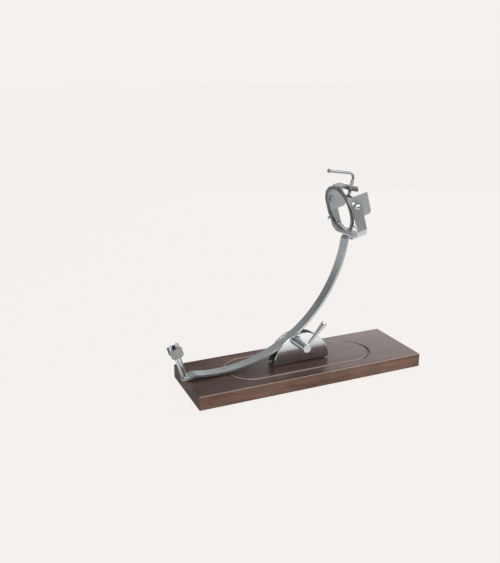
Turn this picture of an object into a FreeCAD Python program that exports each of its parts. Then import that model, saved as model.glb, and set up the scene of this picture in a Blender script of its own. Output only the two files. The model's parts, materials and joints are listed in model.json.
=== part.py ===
"""Ham holder stand: a wooden board, a half-disc clamp that grips a curved flat bar, a spiked
cradle on the bar's low end and a tilting hoop with a clamp screw on its high end.

Frame: +X runs along the board from the cradle to the hoop, -Y is the side of the clamp lever,
+Z is up. The origin is on the table, under the middle of the board. Millimetres and degrees.
"""
import FreeCAD
import Part
import math
import os
from FreeCAD import Vector

GAP = 0.3            # clearance between pieces that move past each other
RUN = 0.1            # radial clearance of a rod in the hole it turns in

# board and feet
BOARD_L, BOARD_W, BOARD_T = 520.0, 170.0, 30.0
BOARD_EDGE = 1.5
FOOT_T, FOOT_R = 3.0, 11.0
FOOT_X, FOOT_Y = 225.0, 62.0
TOP = FOOT_T + BOARD_T
GROOVE_LEN, GROOVE_R, GROOVE_W, GROOVE_D = 340.0, 57.0, 7.0, 3.0

# clamp pedestal
CHEEK_R, CHEEK_T = 66.0, 3.0
BAR_W, BAR_T = 25.0, 5.0
CHEEK_IN = BAR_W / 2 + GAP
CHEEK_OUT = CHEEK_IN + CHEEK_T
CHEEK_LIFT = 2.5
BASE_L, BASE_T = 116.0, 6.0
BOLT_X = 35.0
M6_R, M6_FLATS, M6_NUT = 3.0, 10.0, 5.0

# curved bar, its centre and its two bent ends
ARC_X, ARC_Z = -191.5, TOP + 308.0
ARC_R = 302.5
TAIL_TILT, TAIL_BEND, TAIL_END = 16.0, 8.0, 8.5
POST_X, POST_Z = -261.5, TOP + 4.7
TAIL_NARROW, TAIL_ROUND = 11.0, 8.5
NOSE_BEND, NOSE_END = 10.0, 13.0

# clamp screw and lever
LEVER_X, LEVER_Z = -15.0, TOP + 53.0
LEVER_ROD_R = 4.0
HUB_ROOT_R, HUB_END_R, HUB_END = 10.6, 9.0, 66.5
ARM_ANGLE, ARM_LEN, ARM_Y = 48.0, 66.0, -60.5

# tilting hoop head; its own axes are n along the shank, y across, z square to both
HEAD_X, HEAD_Z = 103.7, TOP + 329.3
HEAD_TILT = 15.0
HOOP_R, HOOP_RI = 52.0, 45.0
HOOP_N0, HOOP_N1 = -15.5, -9.5
YOKE_T, YOKE_IN, YOKE_BEND = 3.0, 52.3, 18.5
YOKE_N0, YOKE_N1 = -10.2, 12.0
WEB_Z = -58.5
YOKE_BOLT_Y = 7.0
PIVOT_N, PIVOT_Z, PIVOT_R = 0.9, 10.5, 4.0
PLATE_T = 3.0
PLATE_OUT = YOKE_IN - GAP
PLATE_IN = PLATE_OUT - PLATE_T

# shank clamp screw, seen from the middle of its nut
NUT_N, NUT_Z = 24.3, 36.3
SCREW_LEAN = 15.0
SCREW_R = 4.0
NUT_R, NUT_LOW, NUT_HIGH = 17.0, -6.0, 1.0
STRAP_W, STRAP_T, STRAP_BEND = 30.0, 4.5, 6.0
STRAP_Z = 49.45
PAD_LOW, PAD_HIGH, PAD_R = -22.0, -17.0, 9.5
HANDLE_R, HANDLE_BEND, HANDLE_DIP = 2.8, 12.0, 5.8
HANDLE_ARM, HANDLE_TURN = 55.1, 10.0
ROD_TOP = 16.8

# cradle on its post, measured along the post from the middle of the bar
POST_R, POST_TOP = 6.8, 52.7
RIVET_R, RIVET_H = 4.5, 2.2
CRADLE_W, CRADLE_D, CRADLE_T = 26.0, 24.0, 3.0
CRADLE_LOW = POST_TOP + GAP
CRADLE_H = 21.0
SPIKE_R, SPIKE_X, SPIKE_TOP = 3.0, 6.5, 85.0

X, Y, Z = Vector(1, 0, 0), Vector(0, 1, 0), Vector(0, 0, 1)


def rod(r, p, axis, length):
    return Part.makeCylinder(r, length, Vector(*p), axis)


def cone(r0, r1, p, axis, length):
    return Part.makeCone(r0, r1, length, Vector(*p), axis)


def box(x0, x1, y0, y1, z0, z1):
    return Part.makeBox(x1 - x0, y1 - y0, z1 - z0, Vector(x0, y0, z0))


def tube(r, ri, p, axis, length):
    return rod(r, p, axis, length).cut(rod(ri, p, axis, length))


def hexagon(flats, p, axis, length):
    """A hexagonal prism with its outer corners turned off at both ends."""
    r = flats / math.sqrt(3)
    points = [Vector(r * math.cos(a), r * math.sin(a), 0)
              for a in (math.radians(60 * k) for k in range(7))]
    prism = Part.Face(Part.makePolygon(points)).extrude(Vector(0, 0, length))
    slope = (r - flats / 2) * 0.6
    barrel = cone(flats / 2, flats / 2 + length, (0, 0, -slope), Z, length)
    prism = prism.common(barrel.fuse(rod(r + 1, (0, 0, slope), Z, length)))
    upper = cone(flats / 2 + length, flats / 2, (0, 0, slope), Z, length)
    prism = prism.common(upper.fuse(rod(r + 1, (0, 0, -slope), Z, length)))
    prism.Placement = FreeCAD.Placement(Vector(*p), FreeCAD.Rotation(Z, axis))
    return prism


def dome(r, p, axis, height):
    """A low round head: the cap of a sphere, flat side at p."""
    big = (r * r + height * height) / (2 * height)
    cap = Part.makeSphere(big, Vector(0, 0, height - big))
    cap = cap.common(rod(r, (0, 0, 0), Z, height))
    cap.Placement = FreeCAD.Placement(Vector(*p), FreeCAD.Rotation(Z, axis))
    return cap


def outline(points, depth, y0):
    """A flat piece cut from (x, z) corners, extruded along +Y from y0."""
    loop = [Vector(x, y0, z) for x, z in points]
    face = Part.Face(Part.makePolygon(loop + loop[:1]))
    return face.extrude(Vector(0, depth, 0))


def strip(start, heading, runs, thick, width):
    """A flat bar bent in the XZ plane. Each run is a length, or a (radius, turn) bend."""
    x, z = start
    half = thick / 2
    left, right = [], []
    for run in runs:
        a = math.radians(heading)
        ux, uz = math.cos(a), math.sin(a)
        if isinstance(run, float):
            nx, nz = x + run * ux, z + run * uz
            for side, edges in ((half, left), (-half, right)):
                first = Vector(x - side * uz, 0, z + side * ux)
                last = Vector(nx - side * uz, 0, nz + side * ux)
                edges.append(Part.makeLine(first, last))
        else:
            radius, turn = run
            s = 1 if turn > 0 else -1
            cx, cz = x - s * radius * uz, z + s * radius * ux
            for side, edges in ((half, left), (-half, right)):
                r = radius - s * side
                spots = []
                for part in (0, 0.5, 1):
                    b = a + math.radians(turn * part)
                    spots.append(Vector(cx + s * r * math.sin(b), 0, cz - s * r * math.cos(b)))
                edges.append(Part.Arc(*spots).toShape())
            b = math.radians(heading + turn)
            nx, nz = cx + s * radius * math.sin(b), cz - s * radius * math.cos(b)
            heading += turn
        x, z = nx, nz
    caps = [Part.makeLine(left[0].Vertexes[0].Point, right[0].Vertexes[0].Point),
            Part.makeLine(left[-1].Vertexes[-1].Point, right[-1].Vertexes[-1].Point)]
    loop = Part.Wire(Part.__sortEdges__(left + right + caps))
    bar = Part.Face(loop).extrude(Vector(0, width, 0))
    bar.translate(Vector(0, -width / 2, 0))
    return bar


def in_head(shape):
    """Place a shape drawn in the head's axes."""
    shape.rotate(Vector(0, 0, 0), Y, -HEAD_TILT)
    shape.translate(Vector(HEAD_X, 0, HEAD_Z))
    return shape


def on_screw(shape):
    """Place a shape drawn along the shank clamp screw, with the nut's middle at zero."""
    a = math.radians(HEAD_TILT)
    x = HEAD_X + NUT_N * math.cos(a) - NUT_Z * math.sin(a)
    z = HEAD_Z + NUT_N * math.sin(a) + NUT_Z * math.cos(a)
    shape.rotate(Vector(0, 0, 0), Y, SCREW_LEAN)
    shape.translate(Vector(x, 0, z))
    return shape


def on_post(shape):
    """Place a shape drawn along the cradle's post, with the bar's middle at zero."""
    shape.rotate(Vector(0, 0, 0), Y, -TAIL_TILT)
    shape.translate(Vector(POST_X, 0, POST_Z))
    return shape


def both_sides(shape):
    return Part.makeCompound([shape, shape.mirror(Vector(0, 0, 0), Y)])


def feet_spots():
    return [(sx * FOOT_X, sy * FOOT_Y) for sx in (-1, 1) for sy in (-1, 1)]


# ---- board ----

def groove_cutter():
    """The juice groove: a round-bottomed channel along a long loop with half-circle ends."""
    half = GROOVE_LEN / 2 - GROOVE_R
    ball = (GROOVE_W ** 2 / 4 + GROOVE_D ** 2) / (2 * GROOVE_D)
    zc = TOP - GROOVE_D + ball
    loop = None
    for sx in (-1, 1):
        bend = Part.makeTorus(GROOVE_R, ball, Vector(sx * half, 0, zc), Z)
        keep = box(min(sx * half, sx * 300), max(sx * half, sx * 300), -100, 100, 0, 100)
        bend = bend.common(keep)
        loop = bend if loop is None else loop.fuse(bend)
    for sy in (-1, 1):
        loop = loop.fuse(rod(ball, (-half, sy * GROOVE_R, zc), X, 2 * half))
    return loop


def board():
    slab = box(-BOARD_L / 2, BOARD_L / 2, -BOARD_W / 2, BOARD_W / 2, FOOT_T, TOP)
    slab = slab.makeFillet(BOARD_EDGE, slab.Edges)
    slab = slab.cut(groove_cutter())
    for sx in (-1, 1):
        slab = slab.cut(rod(M6_R + GAP, (sx * BOLT_X, 0, FOOT_T), Z, BOARD_T))
        slab = slab.cut(rod(9.0, (sx * BOLT_X, 0, FOOT_T), Z, 9.0))
    for x, y in feet_spots():
        slab = slab.cut(foot_screw(x, y))
    return slab


def rubber_feet():
    feet = []
    for x, y in feet_spots():
        foot = rod(FOOT_R, (x, y, 0), Z, FOOT_T)
        foot = foot.makeChamfer(0.6, [foot.Edges[0]])
        sink = cone(4.3, 1.75, (x, y, 0), Z, 2.4)
        feet.append(foot.cut(sink).cut(rod(1.75, (x, y, 0), Z, FOOT_T)))
    return Part.makeCompound(feet)


def foot_screw(x, y):
    head = cone(3.6, 1.75, (x, y, 0.66), Z, 1.74)
    return head.fuse(rod(1.75, (x, y, 2.4), Z, 10.6)).fuse(cone(1.75, 0.2, (x, y, 13.0), Z, 3.0))


def foot_screws():
    return Part.makeCompound([foot_screw(x, y) for x, y in feet_spots()])


# ---- pedestal ----

def cheek(side):
    """One half-disc plate, welded to the base just clear of the board; side -1 is the lever's."""
    y0 = CHEEK_IN if side > 0 else -CHEEK_OUT
    disc = rod(CHEEK_R, (0, y0, TOP), Y, CHEEK_T)
    disc = disc.makeChamfer(0.6, [e for e in disc.Edges if e.Length > 400])
    disc = disc.common(box(-100, 100, y0, y0 + CHEEK_T, TOP + CHEEK_LIFT, TOP + 100))
    return disc.cut(rod(LEVER_ROD_R + RUN, (LEVER_X, y0 - 1, LEVER_Z), Y, CHEEK_T + 2))


def pedestal_base():
    plate = box(-BASE_L / 2, BASE_L / 2, -CHEEK_IN, CHEEK_IN, TOP, TOP + BASE_T)
    for sx in (-1, 1):
        plate = plate.cut(rod(M6_R + GAP, (sx * BOLT_X, 0, TOP), Z, BASE_T))
    return plate


def base_bolts():
    top = TOP + BASE_T
    bolts = []
    for sx in (-1, 1):
        head = dome(5.5, (sx * BOLT_X, 0, top), Z, 3.3)
        head = head.cut(hexagon(4.0, (sx * BOLT_X, 0, top + 1.3), Z, 3.0))
        bolts.append(head.fuse(rod(M6_R, (sx * BOLT_X, 0, 4.6), Z, top - 4.6)))
    return Part.makeCompound(bolts)


def base_washers():
    z = FOOT_T + 9.0 - 1.6
    return Part.makeCompound([tube(7.5, M6_R + GAP, (sx * BOLT_X, 0, z), Z, 1.6) for sx in (-1, 1)])


def base_nuts():
    z = FOOT_T + 9.0 - 1.6 - M6_NUT
    nuts = [hexagon(M6_FLATS, (sx * BOLT_X, 0, z), Z, M6_NUT) for sx in (-1, 1)]
    return Part.makeCompound([n.cut(rod(M6_R, (n.BoundBox.Center.x, 0, z), Z, M6_NUT)) for n in nuts])


def rest_bar():
    """A round bar between the cheeks that carries the curved bar near their left rim."""
    r = 5.0
    x = -50.0
    z = ARC_Z - math.sqrt((ARC_R + BAR_T / 2 + GAP + r) ** 2 - (x - ARC_X) ** 2)
    return rod(r, (x, -CHEEK_IN + GAP, z), Y, 2 * CHEEK_IN - GAP)


def rest_sleeve():
    """The second rest: a sleeve round the clamp screw, welded to the far cheek."""
    r = math.hypot(LEVER_X - ARC_X, LEVER_Z - ARC_Z) - ARC_R - BAR_T / 2 - GAP
    y0 = -CHEEK_IN + GAP
    return tube(r, LEVER_ROD_R + RUN, (LEVER_X, y0, LEVER_Z), Y, CHEEK_IN - y0)


def far_nut():
    nut = hexagon(13.0, (LEVER_X, CHEEK_OUT, LEVER_Z), Y, 6.5)
    return nut.cut(rod(LEVER_ROD_R + RUN, (LEVER_X, CHEEK_OUT, LEVER_Z), Y, 6.5))


# ---- clamp lever ----

def lever_washer():
    y = -CHEEK_OUT - GAP
    ring = rod(11.4, (LEVER_X, y, LEVER_Z), -Y, 2.0)
    ring = ring.makeChamfer(0.5, [e for e in ring.Edges if e.Length > 60])
    return ring.cut(rod(LEVER_ROD_R + RUN, (LEVER_X, y, LEVER_Z), -Y, 2.0))


def lever_rod():
    y0 = -HUB_END + 6.0
    y1 = CHEEK_OUT + 9.0
    shaft = rod(LEVER_ROD_R, (LEVER_X, y0, LEVER_Z), Y, y1 - y0)
    return shaft.makeChamfer(0.8, [e for e in shaft.Edges if e.BoundBox.YMin > y1 - 0.1])


def arm_axis():
    a = math.radians(ARM_ANGLE)
    return Vector(math.cos(a), 0, math.sin(a))


def lever_hub():
    """The long turned hub: a stepped root, then a slow taper to the outer end."""
    y = -CHEEK_OUT - 2 * GAP - 2.0
    root = rod(HUB_ROOT_R, (LEVER_X, y, LEVER_Z), -Y, 5.0)
    neck = rod(HUB_ROOT_R - 0.8, (LEVER_X, y - 5.0, LEVER_Z), -Y, 1.2)
    length = HUB_END + y - 6.2
    body = cone(HUB_ROOT_R - 0.1, HUB_END_R, (LEVER_X, y - 6.2, LEVER_Z), -Y, length)
    hub = root.fuse(neck).fuse(body)
    hub = hub.cut(lever_rod())
    return hub.cut(rod(2.6, (LEVER_X, ARM_Y, LEVER_Z), arm_axis(), 20.0))


def hub_cap():
    cap = rod(HUB_END_R, (LEVER_X, -HUB_END, LEVER_Z), -Y, 2.0)
    return cap.makeFillet(0.8, [e for e in cap.Edges if e.BoundBox.YMax < -HUB_END - 1.9])


def lever_arm():
    """The tapered handle: thin where it enters the hub, thick and rounded at its tip."""
    ax = arm_axis()
    at = Vector(LEVER_X, ARM_Y, LEVER_Z)
    tip_r = 6.0
    stem = rod(2.6, at + ax * 4.0, ax, 7.0)
    grip = cone(2.6, tip_r, at + ax * 11.0, ax, ARM_LEN - 11.0 - 3.0)
    end = Part.makeSphere(tip_r, at + ax * (ARM_LEN - 3.0))
    end.Placement = FreeCAD.Placement()
    end = end.cut(rod(20.0, at + ax * (ARM_LEN - 3.0), -ax, 20.0))
    end = end.common(rod(20.0, at, ax, ARM_LEN))
    return stem.fuse(grip).fuse(end)


# ---- curved bar ----

def tail_meets():
    """Where the tail's bend leaves the straight tab, and its angle round the arc's centre."""
    a = math.radians(TAIL_TILT)
    reach = ARC_R + TAIL_BEND
    px = POST_X + TAIL_BEND * math.sin(a) - ARC_X
    pz = POST_Z - TAIL_BEND * math.cos(a) - ARC_Z
    b = px * math.cos(a) + pz * math.sin(a)
    s = -b + math.sqrt(b * b - px * px - pz * pz + reach * reach)
    low = -b - math.sqrt(b * b - px * px - pz * pz + reach * reach)
    s = low if low > 0 else s
    fx, fz = px + s * math.cos(a), pz + s * math.sin(a)
    return s, math.degrees(math.atan2(fx, -fz))


def nose_meets():
    """The same at the high end, where the tab lies square under the head's yoke."""
    a = math.radians(HEAD_TILT)
    reach = ARC_R + NOSE_BEND
    low = WEB_Z - YOKE_T / 2 - BAR_T / 2
    wx = HEAD_X - low * math.sin(a) + NOSE_BEND * math.sin(a) - ARC_X
    wz = HEAD_Z + low * math.cos(a) - NOSE_BEND * math.cos(a) - ARC_Z
    b = wx * math.cos(a) + wz * math.sin(a)
    s = -b + math.sqrt(b * b - wx * wx - wz * wz + reach * reach)
    fx, fz = wx + s * math.cos(a), wz + s * math.sin(a)
    return s, math.degrees(math.atan2(fx, -fz))


def tail_corners():
    """What is cut away beside the tab, so that it narrows to a round end under the post."""
    w = BAR_W / 2
    low, high = -BAR_T - 1, BAR_T + 1
    block = box(-30, TAIL_NARROW, -w - 1, w + 1, low, high)
    reach = math.hypot(TAIL_NARROW, w)
    a = math.atan2(w, TAIL_NARROW) + math.acos(TAIL_ROUND / reach)
    tx, ty = TAIL_ROUND * math.cos(a), TAIL_ROUND * math.sin(a)
    corners = [(tx, ty), (TAIL_NARROW, w), (TAIL_NARROW, -w), (tx, -ty)]
    loop = [Vector(px, py, low) for px, py in corners]
    wedge = Part.Face(Part.makePolygon(loop + loop[:1])).extrude(Vector(0, 0, high - low))
    return on_post(block.cut(wedge).cut(rod(TAIL_ROUND, (0, 0, low), Z, high - low)))


def arc_bar():
    s0, low = tail_meets()
    s1, high = nose_meets()
    a = math.radians(TAIL_TILT)
    start = (POST_X - TAIL_END * math.cos(a), POST_Z - TAIL_END * math.sin(a))
    runs = [TAIL_END + s0, (TAIL_BEND, low - TAIL_TILT), (ARC_R, high - low),
            (NOSE_BEND, HEAD_TILT - high), NOSE_END - s1]
    bar = strip(start, TAIL_TILT, runs, BAR_T, BAR_W)
    bar = bar.cut(on_post(rod(3.0, (0, 0, -10), Z, 20)))
    for y in (-YOKE_BOLT_Y, YOKE_BOLT_Y):
        bar = bar.cut(in_head(rod(M6_R + GAP, (0, y, WEB_Z - 12), Z, 14)))
    return bar.cut(tail_corners())


# ---- cradle ----

def post():
    flange = rod(8.0, (0, 0, BAR_T / 2), Z, 2.5)
    shaft = rod(POST_R, (0, 0, BAR_T / 2 + 2.5), Z, POST_TOP - BAR_T / 2 - 2.5)
    shaft = shaft.makeChamfer(0.5, [e for e in shaft.Edges if e.BoundBox.ZMin > POST_TOP - 0.1])
    spigot = rod(3.0, (0, 0, -BAR_T / 2), Z, BAR_T)
    body = flange.fuse(shaft).fuse(spigot)
    return on_post(body.cut(rod(4.1, (0, 0, POST_TOP - 15.0), Z, 15.0)))


def post_rivet():
    """The peened end of the post under the tab."""
    return on_post(dome(RIVET_R, (0, 0, -BAR_T / 2), -Z, RIVET_H))


def cradle():
    """A folded fork: a floor and two legs, with the corners by the fold cut away."""
    w, d, t = CRADLE_W / 2, CRADLE_D / 2, CRADLE_T
    z0, z1 = CRADLE_LOW, CRADLE_LOW + CRADLE_H
    block = box(-w, w, -d, d, z0, z1).cut(box(-w, w, t - d, d - t, z0 + t, z1))
    cut = 5.0
    shape = outline([(-w + cut, z0), (w - cut, z0), (w, z0 + cut), (w, z1), (-w, z1), (-w, z0 + cut)],
                    2 * d, -d)
    block = block.common(shape)
    for sx in (-SPIKE_X, SPIKE_X):
        block = block.cut(rod(2.5, (sx, 0, z0), Z, t))
    return on_post(block.cut(rod(3.0, (0, 0, z0), Z, t)))


def cradle_stem():
    """The swivel pin: it stands in the post's bore and its top is riveted into the fork."""
    low = POST_TOP - 14.0
    pin = rod(4.0, (0, 0, low), Z, CRADLE_LOW - low)
    return on_post(pin.fuse(rod(3.0, (0, 0, CRADLE_LOW), Z, CRADLE_T)))


def cradle_spikes():
    spikes = []
    for sx in (-SPIKE_X, SPIKE_X):
        floor = CRADLE_LOW + CRADLE_T
        root = rod(2.5, (sx, 0, CRADLE_LOW), Z, CRADLE_T)
        shaft = rod(SPIKE_R, (sx, 0, floor), Z, SPIKE_TOP - 9.0 - floor)
        point = cone(SPIKE_R, 0.3, (sx, 0, SPIKE_TOP - 9.0), Z, 9.0)
        spikes.append(root.fuse(shaft).fuse(point))
    return on_post(Part.makeCompound(spikes))


# ---- head ----

def yoke():
    """A strap bent into a U: a web bolted to the bar and two stems with round tops."""
    flat = YOKE_IN + YOKE_T / 2
    turn = YOKE_BEND
    rise = PIVOT_Z + 15.0 - (WEB_Z + turn)
    runs = [rise, (turn, 90.0), 2 * (flat - turn), (turn, 90.0), rise]
    strap = strip((-flat, WEB_Z + turn + rise), -90.0, runs, YOKE_T, 60.0)
    strap.rotate(Vector(0, 0, 0), Z, 90)
    half = (YOKE_N1 - YOKE_N0) / 2
    mid = (YOKE_N1 + YOKE_N0) / 2
    keep = box(YOKE_N0, YOKE_N1, -80, 80, WEB_Z - 5, PIVOT_Z).fuse(rod(half, (mid, -80, PIVOT_Z), Y, 160))
    strap = strap.common(keep)
    strap = strap.cut(rod(PIVOT_R, (PIVOT_N, -80, PIVOT_Z), Y, 160))
    for y in (-YOKE_BOLT_Y, YOKE_BOLT_Y):
        strap = strap.cut(rod(M6_R + GAP, (0, y, WEB_Z - 5), Z, 10))
    return in_head(strap)


def yoke_bolts():
    top = WEB_Z + YOKE_T / 2
    bolts = []
    for y in (-YOKE_BOLT_Y, YOKE_BOLT_Y):
        head = dome(5.0, (0, y, top), Z, 3.0).cut(hexagon(3.5, (0, y, top + 1.2), Z, 3.0))
        bolts.append(head.fuse(rod(M6_R, (0, y, top - 14.5), Z, 14.5)))
    return in_head(Part.makeCompound(bolts))


def yoke_nuts():
    top = WEB_Z - YOKE_T / 2 - BAR_T
    nuts = []
    for y in (-YOKE_BOLT_Y, YOKE_BOLT_Y):
        nut = hexagon(M6_FLATS, (0, y, top - M6_NUT), Z, M6_NUT)
        nuts.append(nut.cut(rod(M6_R, (0, y, top - M6_NUT), Z, M6_NUT)))
    return in_head(Part.makeCompound(nuts))


def pivot_bolts():
    out = YOKE_IN + YOKE_T
    shaft = rod(PIVOT_R, (PIVOT_N, -out, PIVOT_Z), Y, YOKE_T + GAP + PLATE_T + GAP + 6.5)
    head = dome(6.5, (PIVOT_N, -out, PIVOT_Z), -Y, 4.0)
    head = head.cut(hexagon(5.0, (PIVOT_N, -out - 1.6, PIVOT_Z), -Y, 4.0))
    return in_head(both_sides(shaft.fuse(head)))


def pivot_nuts():
    y = -(PLATE_IN - GAP)
    nut = hexagon(13.0, (PIVOT_N, y, PIVOT_Z), Y, 5.5)
    return in_head(both_sides(nut.cut(rod(PIVOT_R, (PIVOT_N, y, PIVOT_Z), Y, 5.5))))


def stop_peg(y0, y1):
    return rod(2.0, (-12.5, y0, -29.5), Y, y1 - y0)


def stop_pegs():
    """Pegs on the hoop's rim that come against the yoke's front edges and stop the tilt."""
    out = YOKE_IN + YOKE_T + GAP
    return in_head(both_sides(stop_peg(-out, -38.5).fuse(dome(3.4, (-12.5, -out, -29.5), -Y, 2.6))))


def hoop():
    """The ring plate the shank passes through, ground flat where the side plates are welded."""
    ring = tube(HOOP_R, HOOP_RI, (HOOP_N0, 0, 0), X, HOOP_N1 - HOOP_N0)
    rims = [e for e in ring.Edges if e.Length > 200]
    ring = ring.makeChamfer(0.8, rims)
    ring = ring.common(box(-50, 50, -PLATE_IN, PLATE_IN, -80, 80))
    return in_head(ring.cut(stop_peg(-60, -38.5)).cut(stop_peg(38.5, 60)))


def side_plate(lip):
    """One side plate: its front edge slants out to lip at the top, and its lower corner is round."""
    n1, z0, z1 = 31.5, -14.0, 32.4
    corners = [(-11.0, z0), (n1, z0), (n1, z1), (lip, z1), (-11.0, 6.0)]
    plate = outline(corners, PLATE_T, -PLATE_OUT)
    low = [e for e in plate.Edges
           if e.BoundBox.YLength > 1 and e.BoundBox.ZMax < z0 + 1 and e.BoundBox.XMin > 0]
    plate = plate.makeFillet(7.0, low)
    high = [e for e in plate.Edges if e.BoundBox.YLength > 1 and e.BoundBox.ZMin > z1 - 1]
    plate = plate.makeFillet(2.0, high)
    return plate.cut(rod(PIVOT_R + RUN, (PIVOT_N, -PLATE_OUT, PIVOT_Z), Y, PLATE_T))


def near_plate():
    return in_head(side_plate(-16.4))


def far_plate():
    return in_head(side_plate(-9.5).mirror(Vector(0, 0, 0), Y))


def screw_arm():
    """The strap welded behind the hoop's top; its bent end carries the nut."""
    fall = HEAD_TILT + SCREW_LEAN
    a = math.radians(fall)
    level = NUT_HIGH + STRAP_T / 2
    corner_z = NUT_Z + level * math.cos(a)
    down = (STRAP_Z - corner_z) / math.sin(a)
    corner_n = NUT_N + level * math.sin(a) - down * math.cos(a)
    trim = STRAP_BEND * math.tan(a / 2)
    runs = [corner_n - trim - HOOP_N1, (STRAP_BEND, -fall), down - trim]
    bar = in_head(strip((HOOP_N1, STRAP_Z), 0.0, runs, STRAP_T, STRAP_W))
    bar = bar.fuse(on_screw(rod(STRAP_W / 2, (0, 0, NUT_HIGH), Z, STRAP_T)))
    return bar.cut(on_screw(rod(SCREW_R + GAP, (0, 0, NUT_HIGH), Z, STRAP_T)))


def clamp_nut():
    disc = rod(NUT_R, (0, 0, NUT_LOW), Z, NUT_HIGH - NUT_LOW)
    disc = disc.makeChamfer(1.2, [e for e in disc.Edges if e.Length > 100])
    return on_screw(disc.cut(rod(SCREW_R + RUN, (0, 0, NUT_LOW), Z, NUT_HIGH - NUT_LOW)))


# ---- shank clamp screw ----

def clamp_screw():
    shoulder = PAD_HIGH + GAP
    body = rod(SCREW_R, (0, 0, shoulder), Z, ROD_TOP - shoulder)
    return on_screw(body.fuse(rod(3.0, (0, 0, PAD_HIGH - 3.2), Z, shoulder - PAD_HIGH + 3.2)))


def pressure_pad():
    """The foot that presses on the shank; the screw's end turns in its socket."""
    foot = rod(PAD_R, (0, 0, PAD_LOW), Z, PAD_HIGH - PAD_LOW)
    foot = foot.makeChamfer(1.0, [e for e in foot.Edges if e.Length > 50])
    return on_screw(foot.cut(rod(3.0 + RUN, (0, 0, PAD_HIGH - 3.5), Z, 3.5)))


def turn_handle(shape):
    shape.rotate(Vector(0, 0, 0), Z, HANDLE_TURN)
    return on_screw(shape)


def on_bend(part):
    """A point on the handle's bend, from 0 where it leaves the screw to 1 where the arm starts."""
    a = math.radians((90 + HANDLE_DIP) * part)
    return Vector(HANDLE_BEND * (math.cos(a) - 1), 0, ROD_TOP + HANDLE_BEND * math.sin(a))


def arm_direction():
    a = math.radians(90 + HANDLE_DIP)
    return Vector(-math.sin(a), 0, math.cos(a))


def screw_handle():
    """A bent rod: up from the screw, then out to one side and dipping a little."""
    spots = [on_bend(part) for part in (0, 0.5, 1)]
    corner = Part.Arc(*spots).toShape()
    arm = Part.makeLine(spots[-1], spots[-1] + arm_direction() * HANDLE_ARM)
    round_end = Part.Wire(Part.makeCircle(HANDLE_R, Vector(0, 0, ROD_TOP), Z))
    return turn_handle(Part.Wire([corner, arm]).makePipeShell([round_end], True, False))


def handle_cap():
    cap = rod(4.2, on_bend(1) + arm_direction() * HANDLE_ARM, arm_direction(), 3.4)
    return turn_handle(cap.makeFillet(1.0, [e for e in cap.Edges if e.Length > 25]))


PIECES = {
    "board": board, "rubber_feet": rubber_feet, "foot_screws": foot_screws,
    "cheek_near": lambda: cheek(-1), "cheek_far": lambda: cheek(1),
    "pedestal_base": pedestal_base, "base_bolts": base_bolts, "base_washers": base_washers,
    "base_nuts": base_nuts, "rest_bar": rest_bar, "rest_sleeve": rest_sleeve, "far_nut": far_nut,
    "lever_washer": lever_washer, "lever_rod": lever_rod, "lever_hub": lever_hub,
    "hub_cap": hub_cap, "lever_arm": lever_arm,
    "arc_bar": arc_bar, "post": post, "post_rivet": post_rivet, "cradle": cradle,
    "cradle_stem": cradle_stem, "cradle_spikes": cradle_spikes,
    "yoke": yoke, "yoke_bolts": yoke_bolts, "yoke_nuts": yoke_nuts,
    "pivot_bolts": pivot_bolts, "pivot_nuts": pivot_nuts,
    "hoop": hoop, "side_plate_near": near_plate, "side_plate_far": far_plate,
    "stop_pegs": stop_pegs, "screw_arm": screw_arm, "clamp_nut": clamp_nut,
    "clamp_screw": clamp_screw, "pressure_pad": pressure_pad,
    "screw_handle": screw_handle, "handle_cap": handle_cap,
}

os.makedirs("parts", exist_ok=True)
for name, make in PIECES.items():
    piece = make()
    piece.exportStep(f"parts/{name}.step")
    b = piece.BoundBox
    print(f"{name:16s} solids {len(piece.Solids):2d} valid {piece.isValid()} volume {piece.Volume:10.1f}"
          f" x {b.XMin:7.1f} {b.XMax:7.1f} y {b.YMin:6.1f} {b.YMax:6.1f} z {b.ZMin:6.1f} {b.ZMax:6.1f}")
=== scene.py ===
"""Looks of the ham holder stand: materials, rounded sheet-metal edges and real threads round the
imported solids, with a plain pale studio. Metres and the CAD frame throughout."""

import bmesh
import bpy
import json
import math
from mathutils import Matrix, Vector

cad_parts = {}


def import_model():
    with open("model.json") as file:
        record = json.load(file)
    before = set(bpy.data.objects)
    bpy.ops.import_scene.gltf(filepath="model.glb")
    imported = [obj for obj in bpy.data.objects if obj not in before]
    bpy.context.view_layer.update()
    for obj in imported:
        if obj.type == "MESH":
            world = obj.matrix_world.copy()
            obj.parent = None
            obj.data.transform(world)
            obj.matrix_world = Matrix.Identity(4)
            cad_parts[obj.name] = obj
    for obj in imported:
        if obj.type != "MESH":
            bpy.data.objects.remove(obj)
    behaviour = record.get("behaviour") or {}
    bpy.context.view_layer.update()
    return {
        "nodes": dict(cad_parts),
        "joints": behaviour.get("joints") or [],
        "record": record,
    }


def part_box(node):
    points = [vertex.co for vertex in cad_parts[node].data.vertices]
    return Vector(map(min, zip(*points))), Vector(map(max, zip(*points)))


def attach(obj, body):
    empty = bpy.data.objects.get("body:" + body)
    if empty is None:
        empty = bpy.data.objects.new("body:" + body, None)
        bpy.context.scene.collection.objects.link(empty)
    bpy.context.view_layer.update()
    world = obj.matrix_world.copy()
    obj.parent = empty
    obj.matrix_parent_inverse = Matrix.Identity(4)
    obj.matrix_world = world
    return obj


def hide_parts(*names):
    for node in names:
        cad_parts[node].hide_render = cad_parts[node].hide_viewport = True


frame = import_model()
NODES = frame["nodes"]
JOINTS = {j["name"]: j for j in frame["joints"]}
MM = 0.001

# camera: the view the stand is judged from (degrees and millimetres of film)
CAMERA_AT = Vector((-0.6230, -1.2060, 0.6335))
CAMERA_AZIMUTH, CAMERA_ELEVATION, CAMERA_ROLL = -22.87, 17.27, -0.55
CAMERA_LENS, SENSOR = 42.69, 36.0
CLIP_NEAR, CLIP_FAR = 0.01, 200.0

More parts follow.
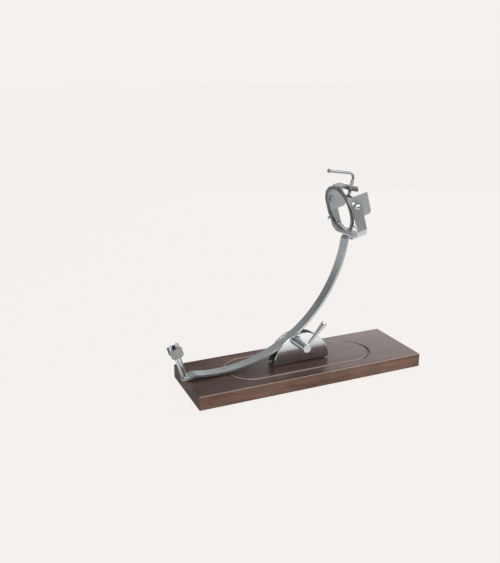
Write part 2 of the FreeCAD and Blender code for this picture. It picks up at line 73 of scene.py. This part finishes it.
# studio: the floor's stops are (metres outside the board, glow), the room's are (how far up the
# direction points, level), from 0 at the horizon to 1 overhead
PALE = (0.913, 0.879, 0.855)
FLOOR_HALF = 40.0
FLOOR_GREY, FLOOR_ROUGH, FLOOR_LIT = (0.037, 0.036, 0.035), 0.9, 0.965
FLOOR_GLOW = ((0.04, 0.34), (0.12, 1.25), (0.40, 1.18), (0.85, 0.42))
ROOM = ((0.0, 0.85), (0.09, 0.58), (0.19, 0.07), (0.45, 0.24), (0.66, 0.48), (1.0, 0.66))
LIGHTS = (  # name, place, target, width and height, watts
    ("key", (-0.7, -2.0, 1.8), (0.0, 0.0, 0.15), (1.0, 1.4), 34.0),
    ("fill", (1.8, -0.9, 1.2), (0.0, 0.0, 0.15), (0.5, 1.3), 12.0),
    ("rim", (1.0, 1.75, 1.8), (0.0, 0.0, 0.1), (1.2, 0.6), 2.0),
    ("sheen", (1.55, 1.9, 0.72), (0.2, 0.0, 0.03), (1.5, 0.7), 8.0),
)

# driving sizes of the stand that materials and threads follow
ARC_CENTRE = Vector(JOINTS["arc_tilt"]["pos_m"])
HEAD_TILT = math.radians(15.0)
PITCH = 1.25 * MM
THREAD_DEPTH = 0.6 * PITCH
M8_RADIUS, NECK_RADIUS = 4.0 * MM, 3.0 * MM
NECK_LOW, NECK_HIGH, SCREW_TOP = -20.2 * MM, -16.7 * MM, 16.8 * MM
ROD_PLAIN = 65.0 * MM

# meshes
WELD, NO_AREA = 1e-6, 1e-13
FLAT_WITHIN, SHARP_OVER, THREAD_SHARP_OVER = (math.radians(a) for a in (0.4, 32.0, 40.0))
BEVEL_STEPS = 3
THREAD_SIDES, RINGS_PER_TURN = 36, 10


# ---- material building ----

def fill_ramp(node, stops):
    """Set a colour ramp's stops, each (place, level) or (place, colour)."""
    elements = node.color_ramp.elements
    while len(elements) < len(stops):
        elements.new(0.5)
    for element, (place, colour) in zip(elements, stops):
        element.position = place
        element.color = (*colour, 1.0) if isinstance(colour, tuple) else (colour,) * 3 + (1.0,)


class Tree:
    """A node material with the few node kinds this script uses."""

    def __init__(self, name):
        self.material = bpy.data.materials.new(name)
        self.material.use_nodes = True
        self.nodes = self.material.node_tree.nodes
        self.links = self.material.node_tree.links
        self.shader = self.nodes["Principled BSDF"]

    def join(self, value, socket):
        if isinstance(value, bpy.types.NodeSocket):
            self.links.new(value, socket)
        else:
            socket.default_value = value

    def coords(self, which="Object"):
        return self.nodes.new("ShaderNodeTexCoord").outputs[which]

    def split(self, vector):
        node = self.nodes.new("ShaderNodeSeparateXYZ")
        self.join(vector, node.inputs[0])
        return node.outputs

    def combine(self, x, y, z):
        node = self.nodes.new("ShaderNodeCombineXYZ")
        for value, socket in zip((x, y, z), node.inputs):
            self.join(value, socket)
        return node.outputs[0]

    def vector(self, operation, a, b):
        node = self.nodes.new("ShaderNodeVectorMath")
        node.operation = operation
        self.join(a, node.inputs[0])
        self.join(b, node.inputs[1])
        return node.outputs[0]

    def turn(self, vector, centre, axis, angle):
        node = self.nodes.new("ShaderNodeVectorRotate")
        self.join(vector, node.inputs["Vector"])
        node.inputs["Center"].default_value = centre
        node.inputs["Axis"].default_value = axis
        node.inputs["Angle"].default_value = angle
        return node.outputs[0]

    def math(self, operation, a, b=0.0):
        node = self.nodes.new("ShaderNodeMath")
        node.operation = operation
        self.join(a, node.inputs[0])
        self.join(b, node.inputs[1])
        return node.outputs[0]

    def noise(self, vector, scale=1.0, detail=4.0, roughness=0.55, distortion=0.0):
        """Noise, mostly between 0.3 and 0.7, which is what the ramps and fits on it span."""
        node = self.nodes.new("ShaderNodeTexNoise")
        self.join(vector, node.inputs["Vector"])
        node.inputs["Scale"].default_value = scale
        node.inputs["Detail"].default_value = detail
        node.inputs["Roughness"].default_value = roughness
        node.inputs["Distortion"].default_value = distortion
        return node.outputs[0]

    def ramp(self, factor, *stops):
        node = self.nodes.new("ShaderNodeValToRGB")
        fill_ramp(node, stops)
        self.join(factor, node.inputs[0])
        return node.outputs[0]

    def mix(self, factor, a, b, blend="MIX"):
        node = self.nodes.new("ShaderNodeMix")
        node.data_type = "RGBA"
        node.blend_type = blend
        self.join(factor, node.inputs[0])
        self.join(a if isinstance(a, bpy.types.NodeSocket) else (*a, 1.0), node.inputs[6])
        self.join(b if isinstance(b, bpy.types.NodeSocket) else (*b, 1.0), node.inputs[7])
        return node.outputs[2]

    def fit(self, value, low, high, to_low, to_high):
        node = self.nodes.new("ShaderNodeMapRange")
        self.join(value, node.inputs[0])
        for socket, number in zip(node.inputs[1:5], (low, high, to_low, to_high)):
            socket.default_value = number
        return node.outputs[0]

    def bump(self, height, distance, strength):
        node = self.nodes.new("ShaderNodeBump")
        node.inputs["Strength"].default_value = strength
        node.inputs["Distance"].default_value = distance
        self.join(height, node.inputs["Height"])
        return node.outputs[0]

    def set(self, **sockets):
        for name, value in sockets.items():
            self.join(value, self.shader.inputs[name.replace("_", " ")])


def around(tree, centre, axis, tilt=0.0):
    """Coordinates round an axis through centre: the angle round it in radians, then the distance
    out and the place along it in metres. axis is its letter; tilt turns it back about Y first."""
    spot = tree.coords()
    if tilt:
        spot = tree.turn(spot, centre, (0.0, 1.0, 0.0), tilt)
    x, y, z = tree.split(tree.vector("SUBTRACT", spot, tuple(centre)))
    along, a, b = {"x": (x, y, z), "y": (y, x, z), "z": (z, x, y)}[axis]
    squares = tree.math("ADD", tree.math("MULTIPLY", a, a), tree.math("MULTIPLY", b, b))
    out = tree.math("SQRT", squares)
    return tree.math("ARCTAN2", a, b), out, along


def dimmed(colour, share):
    return tuple(c * share for c in colour)


CLOUD_SCALE, SMEAR_SCALE = 38.0, 9.0
SMEAR_MOST, SMEAR_SHADE = 0.35, 0.86
# the cheeks' inner faces: their darkening is painted shade, and their finish is rougher
INNER_PAINTED_SHADE, UNPOLISHED_ROUGHER = 0.42, 0.22
BRUSH_DEPTH = 0.02 * MM


def metal(name, colour, roughness, stroke, grain, marks=0.05, relief=0.2, anisotropic=0.0,
          shade_and_dull=None):
    """A metal with brushed lines, faint clouding and a few handling marks.
    stroke(tree) gives coordinates already stretched along the brushing; grain is how far the lines vary
    the colour and marks how far they vary the roughness; the last argument, given the tree, is 1 where
    the metal gets painted shade and a rougher finish."""
    tree = Tree(name)
    lines = tree.noise(stroke(tree), detail=3.0, roughness=0.6)
    cloud = tree.noise(tree.coords(), scale=CLOUD_SCALE, detail=3.0)
    smear = tree.noise(tree.coords(), scale=SMEAR_SCALE, detail=5.0, roughness=0.62, distortion=0.6)
    dark = dimmed(colour, 1.0 - grain)
    light = tuple(min(1.0, c) for c in dimmed(colour, 1.0 + grain * 0.7))
    brushed = tree.mix(tree.ramp(lines, (0.28, 0.0), (0.72, 1.0)), dark, light)
    smeared = tree.fit(smear, 0.5, 0.75, 0.0, SMEAR_MOST)
    shade = tree.mix(smeared, brushed, dimmed(colour, SMEAR_SHADE))
    level = tree.math("ADD", tree.fit(lines, 0.3, 0.7, roughness - marks, roughness + marks),
                      tree.fit(cloud, 0.35, 0.7, -marks * 0.5, marks * 0.8))
    if shade_and_dull:
        shaded_dull = shade_and_dull(tree)
        # painted shade: the colour is darkened where the mask is 1
        shade = tree.mix(shaded_dull, shade, dimmed(colour, INNER_PAINTED_SHADE))
        level = tree.math("ADD", level, tree.math("MULTIPLY", shaded_dull, UNPOLISHED_ROUGHER))
    tree.set(Base_Color=shade, Metallic=1.0, Roughness=level, Anisotropic=anisotropic)
    tree.set(Normal=tree.bump(lines, BRUSH_DEPTH, relief))
    return tree.material


def straight(sx, sy, sz):
    """Lines along the axis with the smallest scale; three equal scales give an even mottle."""
    return lambda tree: tree.vector("MULTIPLY", tree.coords(), (sx, sy, sz))


BAR_ROUND, BAR_LINES = 8.0, 900.0
TURNED_ROUND = 0.6


def along_arc(tree):
    """Stretched along the curved bar, whose lines run round the arc's centre."""
    angle, out, y = around(tree, ARC_CENTRE, "y")
    return tree.combine(tree.math("MULTIPLY", angle, BAR_ROUND),
                        tree.math("MULTIPLY", out, BAR_LINES), tree.math("MULTIPLY", y, BAR_LINES))


def turned(centre, axis, tilt=0.0, lines=2200.0):
    """Lathe marks: rings round an axis, so the pattern changes along it and outwards."""
    def stroke(tree):
        angle, out, along = around(tree, centre, axis, tilt)
        return tree.combine(tree.math("MULTIPLY", angle, TURNED_ROUND),
                            tree.math("MULTIPLY", out, lines),
                            tree.math("MULTIPLY", along, lines))
    return stroke


# where the painted shade on the cheeks' inner faces fades out
INNER_FADE_START, INNER_FADE_FULL = 0.4 * MM, 1.2 * MM


def inner_faces(tree):
    """1 on the faces of the cheeks that look at each other, which get painted shade and a rougher
    finish.
    """
    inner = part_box("cheek_far")[0].y
    y = tree.split(tree.coords())[1]
    return tree.fit(tree.math("ABSOLUTE", y), inner + INNER_FADE_START, inner + INNER_FADE_FULL, 1.0, 0.0)


# ---- materials ----

# the board: eased edge, groove loop (half its straight, its end radius, half its width), stains, and
# painted light on the long sides and in the groove
EASED = 1.5 * MM
GROOVE_STRAIGHT, GROOVE_RADIUS, GROOVE_HALF = 0.113, 0.057, 3.5 * MM
GROOVE_EDGE = (GROOVE_HALF - 0.6 * MM, GROOVE_HALF - 0.2 * MM)
# how far from the groove's edge the painted highlight on its lips reaches
LIP_NEAR, LIP_FAR = 0.3 * MM, 1.2 * MM
TOP_DARK, TOP_MID, TOP_LIGHT = (0.034, 0.015, 0.010), (0.074, 0.036, 0.025), (0.135, 0.072, 0.052)
# the long sides' ramp is lighter than the top's: painted light
SIDE_DARK, SIDE_MID, SIDE_LIGHT = (0.118, 0.062, 0.044), (0.190, 0.110, 0.080), (0.262, 0.168, 0.128)
END_DARK, END_LIGHT = (0.022, 0.012, 0.008), (0.150, 0.094, 0.064)
# the lip colour is a painted highlight; the pore colour is the pores' own dark and also paints the shade
# on the groove's floor
PALE_EDGE, LIP_HIGHLIGHT, PORE_AND_SHADE = (0.46, 0.34, 0.29), (0.42, 0.36, 0.35), (0.020, 0.013, 0.011)
BLOTCH, PALER = (0.70, 0.56, 0.52), (1.50, 1.38, 1.30)
BLOTCH_FROM = (0.31, 0.0, 0.0)
# share of the painted shade on the groove's floor
GROOVE_SHADE_SHARE = 0.55

# the grain: noise scales along X, across and up, and how far the lines wander
WANDER_SCALE, DRIFT_Y, DRIFT_Z = (5.0, 12.0, 12.0), 0.016, 0.010
FIBRE_SCALE, FIGURE_SCALE = (9.0, 420.0, 420.0), (2.2, 60.0, 75.0)
PORE_SCALE, BLOTCH_SCALE = (55.0, 1700.0, 1700.0), (9.0, 22.0, 22.0)
FIBRE_SHARE, FIGURE_SHARE = 0.45, 0.55
FIBRE_RISE, PORE_SINK, WOOD_DEPTH, WOOD_RELIEF = 0.5, 0.8, 0.12 * MM, 0.6
LACQUER_SPECULAR, LACQUER_COAT, LACQUER_COAT_ROUGH = 0.35, 0.25, 0.16

# the feet
RUBBER, DUST = (0.018, 0.018, 0.018), (0.060, 0.058, 0.055)
SPECK_SCALE, DUST_SCALE, RUBBER_DEPTH = 900.0, 120.0, 0.08 * MM


def groove_way(tree, x, y):
    """Distance from the groove's middle line, a long loop with half-circle ends; metres."""
    past = tree.math("SUBTRACT", tree.math("ABSOLUTE", x), GROOVE_STRAIGHT)
    beyond = tree.math("MAXIMUM", past, 0.0)
    reach = tree.math("ADD", tree.math("MULTIPLY", beyond, beyond), tree.math("MULTIPLY", y, y))
    return tree.math("ABSOLUTE", tree.math("SUBTRACT", tree.math("SQRT", reach), GROOVE_RADIUS))


def long_eased_edges(tree, y, z):
    """1 on the eased edges along the top's long sides, which are coloured paler."""
    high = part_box("board")[1]
    out = tree.fit(tree.math("ABSOLUTE", y), high.y - EASED, high.y - EASED / 2, 0.0, 1.0)
    up = tree.fit(z, high.z - EASED, high.z - EASED / 2, 0.0, 1.0)
    return tree.math("MULTIPLY", out, up)


def board_wood():
    """Dark stained, lacquered board: grain along X, long sides lighter as painted light, paler eased
    edges.
    """
    tree = Tree("board_wood")
    spot = tree.coords()
    x, y, z = tree.split(spot)
    nx, ny, nz = tree.split(tree.coords("Normal"))
    wander = tree.noise(tree.vector("MULTIPLY", spot, WANDER_SCALE), detail=3.0)
    drift = tree.combine(0.0, tree.math("MULTIPLY", wander, DRIFT_Y),
                         tree.math("MULTIPLY", wander, DRIFT_Z))
    bent = tree.vector("ADD", spot, drift)
    fibre = tree.noise(tree.vector("MULTIPLY", bent, FIBRE_SCALE), detail=8.0, roughness=0.7)
    figure = tree.noise(tree.vector("MULTIPLY", bent, FIGURE_SCALE), detail=5.0, distortion=0.4)
    pores = tree.noise(tree.vector("MULTIPLY", bent, PORE_SCALE), detail=2.0)
    patch = tree.vector("MULTIPLY", tree.vector("ADD", spot, BLOTCH_FROM), BLOTCH_SCALE)
    blotch = tree.noise(patch, detail=4.0)
    grain = tree.math("ADD", tree.math("MULTIPLY", fibre, FIBRE_SHARE),
                      tree.math("MULTIPLY", figure, FIGURE_SHARE))

    # stain: one ramp for the top, a lighter one for the long sides, which is painted light, one for the
    # end grain
    side = tree.fit(tree.math("ABSOLUTE", ny), 0.45, 0.80, 0.0, 1.0)
    end = tree.fit(tree.math("ABSOLUTE", nx), 0.55, 0.85, 0.0, 1.0)
    top = tree.ramp(grain, (0.34, TOP_DARK), (0.52, TOP_MID), (0.66, TOP_LIGHT))
    sides_lit = tree.ramp(grain, (0.34, SIDE_DARK), (0.50, SIDE_MID), (0.66, SIDE_LIGHT))
    ends = tree.ramp(grain, (0.36, END_DARK), (0.62, END_LIGHT))
    colour = tree.mix(end, tree.mix(side, top, sides_lit), ends)

    # patches, darker and paler, then the paler eased edges
    darker = tree.mix(1.0, colour, BLOTCH, "MULTIPLY")
    colour = tree.mix(tree.fit(blotch, 0.50, 0.66, 0.0, 0.9), colour, darker)
    paler = tree.mix(1.0, colour, PALER, "MULTIPLY")
    colour = tree.mix(tree.fit(blotch, 0.32, 0.47, 1.0, 0.0), colour, paler)
    pale_edge = tree.math("MULTIPLY", long_eased_edges(tree, y, z), tree.fit(wander, 0.35, 0.6, 0.55, 1.0))
    colour = tree.mix(pale_edge, colour, PALE_EDGE)

    # groove: painted shade on its floor in the pores' dark colour, and a painted highlight on the lip
    # walls that face the front lamps
    way = groove_way(tree, x, y)
    inside = tree.fit(way, *GROOVE_EDGE, 1.0, 0.0)
    level = tree.fit(nz, 0.80, 0.97, 0.0, 1.0)
    groove_shade = tree.math("MULTIPLY", tree.math("MULTIPLY", inside, level), GROOVE_SHADE_SHARE)
    colour = tree.mix(groove_shade, colour, PORE_AND_SHADE)
    from_edge = tree.math("ABSOLUTE", tree.math("SUBTRACT", way, GROOVE_HALF))
    lip = tree.fit(from_edge, LIP_NEAR, LIP_FAR, 1.0, 0.0)
    # painted highlight, strongest on walls that face the front lamps
    front_lit = tree.fit(ny, -0.35, 0.0, 0.9, 0.15)
    colour = tree.mix(tree.math("MULTIPLY", lip, front_lit), colour, LIP_HIGHLIGHT)

    hole = tree.fit(pores, 0.60, 0.72, 0.0, 0.5)
    colour = tree.mix(hole, colour, PORE_AND_SHADE)
    tree.set(Base_Color=colour, Roughness=tree.fit(fibre, 0.3, 0.7, 0.36, 0.52),
             Specular_IOR_Level=LACQUER_SPECULAR, Coat_Weight=LACQUER_COAT,
             Coat_Roughness=LACQUER_COAT_ROUGH)
    height = tree.math("SUBTRACT", tree.math("MULTIPLY", fibre, FIBRE_RISE),
                       tree.math("MULTIPLY", hole, PORE_SINK))
    tree.set(Normal=tree.bump(height, WOOD_DEPTH, WOOD_RELIEF))
    return tree.material


def foot_rubber():
    """Black rubber with a fine speckle and some dust."""
    tree = Tree("foot_rubber")
    speck = tree.noise(tree.coords(), scale=SPECK_SCALE, detail=4.0)
    dust = tree.noise(tree.coords(), scale=DUST_SCALE, detail=5.0)
    colour = tree.mix(tree.fit(dust, 0.45, 0.7, 0.0, 0.5), RUBBER, DUST)
    tree.set(Base_Color=colour, Roughness=tree.fit(speck, 0.3, 0.7, 0.66, 0.9))
    tree.set(Normal=tree.bump(speck, RUBBER_DEPTH, 0.7))
    return tree.material


def node_middle(name):
    low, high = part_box(name)
    return (low + high) / 2


LESS_RED, MORE_BLUE = 0.955, 1.03


def steel(value):
    """A neutral metal colour; a little blue makes up for the warm floor that it mirrors."""
    return (value * LESS_RED, value, value * MORE_BLUE)


BRIGHT = steel(0.82)
ZINC = steel(0.64)
HUB = Vector(JOINTS["lever_turn"]["pos_m"])
POST = Vector(JOINTS["cradle_swivel"]["pos_m"])
POST_AXIS = Vector(JOINTS["cradle_swivel"]["axis"])
POST_TILT = math.atan2(-POST_AXIS.x, POST_AXIS.z)
SCREW = Vector(JOINTS["screw_turn"]["pos_m"])
SCREW_AXIS = Vector(JOINTS["screw_turn"]["axis"])
SCREW_TILT = math.atan2(SCREW_AXIS.x, SCREW_AXIS.z)
HOOP = node_middle("hoop")

MATERIALS = {
    "wood": board_wood(),
    "rubber": foot_rubber(),
    "bar": metal("bar_satin", steel(0.64), 0.34, along_arc, grain=0.08, relief=0.08,
                 anisotropic=0.3),
    "cheek": metal("cheek_polished", BRIGHT, 0.15, straight(16.0, 900.0, 900.0), grain=0.05,
                   marks=0.03, shade_and_dull=inner_faces),
    "base": metal("base_satin", steel(0.30), 0.34, straight(30.0, 900.0, 900.0), grain=0.10),
    "plate": metal("plate_satin", steel(0.65), 0.36, straight(900.0, 900.0, 30.0), grain=0.08),
    "yoke": metal("yoke_satin", steel(0.56), 0.24, straight(1100.0, 60.0, 30.0), grain=0.08),
    "hoop": metal("hoop_turned", steel(0.21), 0.26, turned(HOOP, "x", HEAD_TILT, 1600.0), grain=0.12),
    "cradle": metal("cradle_satin", steel(0.32), 0.28, straight(40.0, 900.0, 900.0), grain=0.10),
    "strap": metal("strap_satin", steel(0.58), 0.26, straight(40.0, 1200.0, 1200.0), grain=0.12),
    # the hub's chrome is greyed to 0.52: painted shade for the dark reflections a chrome hub shows
    "hub": metal("hub_chrome", steel(0.52), 0.09, turned(HUB, "y"), grain=0.06, marks=0.03),
    "arm": metal("arm_chrome", steel(0.80), 0.07, straight(700.0, 700.0, 700.0), grain=0.03, marks=0.02),
    "post": metal("post_chrome", steel(0.68), 0.08, turned(POST, "z", POST_TILT), grain=0.05,
                  marks=0.02),
    "screw": metal("screw_steel", ZINC, 0.26, turned(SCREW, "z", -SCREW_TILT), grain=0.08),
    "nut": metal("nut_turned", steel(0.26), 0.22, turned(SCREW, "z", -SCREW_TILT, 1500.0), grain=0.14),
    "handle": metal("handle_steel", steel(0.42), 0.36, straight(600.0, 600.0, 600.0), grain=0.10),
    "zinc": metal("zinc_plated", ZINC, 0.27, straight(500.0, 500.0, 500.0), grain=0.08),
}


def paint(obj, key):
    """A CAD node shown as it is, with its own material."""
    obj.data.materials.clear()
    obj.data.materials.append(MATERIALS[key])


# ---- pieces ----

BODIES = frame["record"]["behaviour"]["bodies"]
BODY_OF = {node: body for body, names in BODIES.items() for node in names}


def piece(mesh, name, node, key):
    """A new mesh that stands for a CAD node: same body, the given material, better surface."""
    obj = bpy.data.objects.new(name, mesh)
    bpy.context.scene.collection.objects.link(obj)
    mesh.materials.append(MATERIALS[key])
    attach(obj, BODY_OF[node])
    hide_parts(node)
    return obj


def swept(node, key):
    """The node's own shape without the collapsed triangles that its tessellation left in it."""
    mesh = NODES[node].data.copy()
    mesh.materials.clear()
    bm = bmesh.new()
    bm.from_mesh(mesh)
    collapsed = [face for face in bm.faces if face.calc_area() < NO_AREA]
    bmesh.ops.delete(bm, geom=collapsed, context="FACES")
    bm.to_mesh(mesh)
    bm.free()
    piece(mesh, node + "_swept", node, key)


def rounded(node, key, width):
    """The node's own shape with its sharp edges rounded, as ground and tumbled metal has them."""
    bm = bmesh.new()
    bm.from_mesh(NODES[node].data)
    bmesh.ops.remove_doubles(bm, verts=bm.verts, dist=WELD)
    bmesh.ops.dissolve_limit(bm, angle_limit=FLAT_WITHIN, verts=bm.verts, edges=bm.edges)
    mesh = bpy.data.meshes.new(node + "_rounded")
    bm.to_mesh(mesh)
    bm.free()
    if "custom_normal" in mesh.attributes:
        mesh.attributes.remove(mesh.attributes["custom_normal"])
    mesh.materials.clear()
    mesh.shade_smooth()
    mesh.set_sharp_from_angle(angle=SHARP_OVER)
    bevel = piece(mesh, node + "_rounded", node, key).modifiers.new("edges", "BEVEL")
    bevel.width = width
    bevel.segments = BEVEL_STEPS
    bevel.limit_method = "ANGLE"
    bevel.angle_limit = SHARP_OVER
    bevel.harden_normals = True


def thread_radius(radius, t, share, fade):
    """The bar's radius at t metres along it and a share of a turn round it. The thread's crests
    sink into the core where fade runs to 0, at both ends of its stretch."""
    phase = (t / PITCH - share) % 1.0
    cut = THREAD_DEPTH * (1.0 - abs(2.0 * phase - 1.0))
    return radius - THREAD_DEPTH + (THREAD_DEPTH - cut) * max(0.0, fade)


def lathe_thread(name, start, axis, stretches):
    """A round bar along axis from start. Each stretch is (length, radius, threaded)."""
    direction = Vector(axis).normalized()
    across = direction.orthogonal().normalized()
    other = direction.cross(across)
    sides = THREAD_SIDES
    points = []
    place = 0.0
    for length, radius, threaded in stretches:
        count = max(2, int(length / PITCH * RINGS_PER_TURN)) if threaded else 2
        for k in range(count + 1):
            t = place + length * k / count
            fade = min(1.0, (t - place) / PITCH, (place + length - t) / PITCH)
            for s in range(sides):
                a = 2 * math.pi * s / sides
                r = thread_radius(radius, t, s / sides, fade) if threaded else radius
                outward = across * math.cos(a) + other * math.sin(a)
                points.append(Vector(start) + direction * t + outward * r)
        place += length
    last = len(points) - sides
    faces = []
    for ring in range(0, last, sides):
        for s in range(sides):
            n = (s + 1) % sides
            faces.append((ring + s, ring + n, ring + sides + n, ring + sides + s))
    faces.append(tuple(range(sides))[::-1])
    faces.append(tuple(range(last, last + sides)))
    mesh = bpy.data.meshes.new(name)
    mesh.from_pydata(points, [], faces)
    mesh.validate()
    bm = bmesh.new()
    bm.from_mesh(mesh)
    bmesh.ops.recalc_face_normals(bm, faces=bm.faces)
    bm.to_mesh(mesh)
    bm.free()
    mesh.shade_smooth()
    mesh.set_sharp_from_angle(angle=THREAD_SHARP_OVER)
    return mesh


def clamp_screw():
    """M8 screw: a plain neck in the pad's socket, then thread up to the handle."""
    mesh = lathe_thread("clamp_screw_thread", SCREW + SCREW_AXIS * NECK_LOW, SCREW_AXIS,
                        [(NECK_HIGH - NECK_LOW, NECK_RADIUS, False),
                         (SCREW_TOP - NECK_HIGH, M8_RADIUS, True)])
    piece(mesh, "clamp_screw_thread", "clamp_screw", "screw")


def lever_rod():
    """The lever's M8 rod: plain inside the hub, threaded where the far nut holds it."""
    low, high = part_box("lever_rod")
    mesh = lathe_thread("lever_rod_thread", (HUB.x, low.y, HUB.z), (0, 1, 0),
                        [(ROD_PLAIN, M8_RADIUS, False),
                         (high.y - low.y - ROD_PLAIN, M8_RADIUS, True)])
    piece(mesh, "lever_rod_thread", "lever_rod", "zinc")


# node: (material, width of its rounded edges in millimetres)
ROUNDED = {
    "arc_bar": ("bar", 1.3), "cheek_near": ("cheek", 0.3), "cheek_far": ("cheek", 0.3),
    "pedestal_base": ("base", 0.4), "yoke": ("yoke", 0.7), "side_plate_near": ("plate", 0.6),
    "side_plate_far": ("plate", 0.6), "hoop": ("hoop", 0.3), "cradle": ("cradle", 0.6),
    "screw_arm": ("strap", 0.9), "clamp_nut": ("nut", 0.3), "far_nut": ("zinc", 0.25),
}

# node: material
SWEPT = {"board": "wood", "post_rivet": "zinc", "stop_pegs": "zinc"}

PLAIN = {
    "rubber_feet": "rubber", "foot_screws": "zinc", "base_bolts": "zinc",
    "base_washers": "zinc", "base_nuts": "zinc", "rest_bar": "arm", "rest_sleeve": "arm",
    "lever_washer": "hub", "lever_hub": "hub", "hub_cap": "hub", "lever_arm": "arm",
    "post": "post", "cradle_stem": "post", "cradle_spikes": "arm",
    "yoke_bolts": "zinc", "yoke_nuts": "zinc", "pivot_bolts": "zinc", "pivot_nuts": "zinc",
    "pressure_pad": "nut", "screw_handle": "handle", "handle_cap": "handle",
}

for node, (key, width) in ROUNDED.items():
    rounded(node, key, width * MM)
for node, key in SWEPT.items():
    swept(node, key)
for node, key in PLAIN.items():
    paint(NODES[node], key)
clamp_screw()
lever_rod()


# ---- studio ----

def seen_or_met(nodes, links, seen, met):
    """One shader for what the camera sees, another for what lights and mirrors in the object.
    Only the stage uses it, so the stand's own materials don't depend on the camera."""
    path = nodes.new("ShaderNodeLightPath")
    choose = nodes.new("ShaderNodeMixShader")
    links.new(path.outputs["Is Camera Ray"], choose.inputs[0])
    links.new(met, choose.inputs[1])
    links.new(seen, choose.inputs[2])
    return choose.outputs[0]


def floor():
    """A plain pale floor. The object mirrors its own shade first, then bright floor, then grey."""
    mesh = bpy.data.meshes.new("floor")
    h = FLOOR_HALF
    mesh.from_pydata([(-h, -h, 0), (h, -h, 0), (h, h, 0), (-h, h, 0)], [], [(0, 1, 2, 3)])
    obj = bpy.data.objects.new("floor", mesh)
    bpy.context.scene.collection.objects.link(obj)
    tree = Tree("floor_pale")
    tree.set(Base_Color=(*FLOOR_GREY, 1.0), Roughness=FLOOR_ROUGH, Specular_IOR_Level=0.0,
             Emission_Color=(*PALE, 1.0), Emission_Strength=FLOOR_LIT)
    x, y, _ = tree.split(tree.coords())
    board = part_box("board")[1]
    away = tree.math("MAXIMUM", tree.math("SUBTRACT", tree.math("ABSOLUTE", x), board.x),
                     tree.math("SUBTRACT", tree.math("ABSOLUTE", y), board.y))
    glow = tree.nodes.new("ShaderNodeEmission")
    glow.inputs["Color"].default_value = (*PALE, 1.0)
    tree.join(tree.ramp(away, *FLOOR_GLOW), glow.inputs["Strength"])
    surface = seen_or_met(tree.nodes, tree.links, tree.shader.outputs[0], glow.outputs[0])
    tree.links.new(surface, tree.nodes["Material Output"].inputs["Surface"])
    mesh.materials.append(tree.material)


def world():
    """The camera sees plain pale; metal sees a grey room, darker in a belt above the horizon."""
    studio = bpy.data.worlds.new("studio")
    bpy.context.scene.world = studio
    studio.use_nodes = True
    nodes, links = studio.node_tree.nodes, studio.node_tree.links
    room = nodes["Background"]
    coords = nodes.new("ShaderNodeTexCoord")
    parts = nodes.new("ShaderNodeSeparateXYZ")
    links.new(coords.outputs["Generated"], parts.inputs[0])
    ramp = nodes.new("ShaderNodeValToRGB")
    fill_ramp(ramp, ROOM)
    links.new(parts.outputs["Z"], ramp.inputs[0])
    links.new(ramp.outputs[0], room.inputs["Color"])
    plain = nodes.new("ShaderNodeBackground")
    plain.inputs["Color"].default_value = (*PALE, 1.0)
    surface = seen_or_met(nodes, links, plain.outputs[0], room.outputs[0])
    links.new(surface, nodes["World Output"].inputs["Surface"])


def area_light(name, at, target, size, watts):
    data = bpy.data.lights.new(name, "AREA")
    data.shape = "RECTANGLE"
    data.size, data.size_y = size
    data.energy = watts
    obj = bpy.data.objects.new(name, data)
    bpy.context.scene.collection.objects.link(obj)
    obj.location = at
    obj.rotation_euler = (Vector(target) - Vector(at)).to_track_quat("-Z", "Y").to_euler()
    obj.visible_camera = False


def camera():
    data = bpy.data.cameras.new("camera")
    data.lens, data.sensor_width = CAMERA_LENS, SENSOR
    data.clip_start, data.clip_end = CLIP_NEAR, CLIP_FAR
    obj = bpy.data.objects.new("camera", data)
    bpy.context.scene.collection.objects.link(obj)
    turn = (Matrix.Rotation(math.radians(CAMERA_AZIMUTH), 4, "Z")
            @ Matrix.Rotation(math.radians(90.0 - CAMERA_ELEVATION), 4, "X")
            @ Matrix.Rotation(math.radians(CAMERA_ROLL), 4, "Z"))
    obj.matrix_world = Matrix.Translation(CAMERA_AT) @ turn
    bpy.context.scene.camera = obj


floor()
world()
camera()
for light in LIGHTS:
    area_light(*light)
bpy.context.scene.view_settings.view_transform = "Standard"
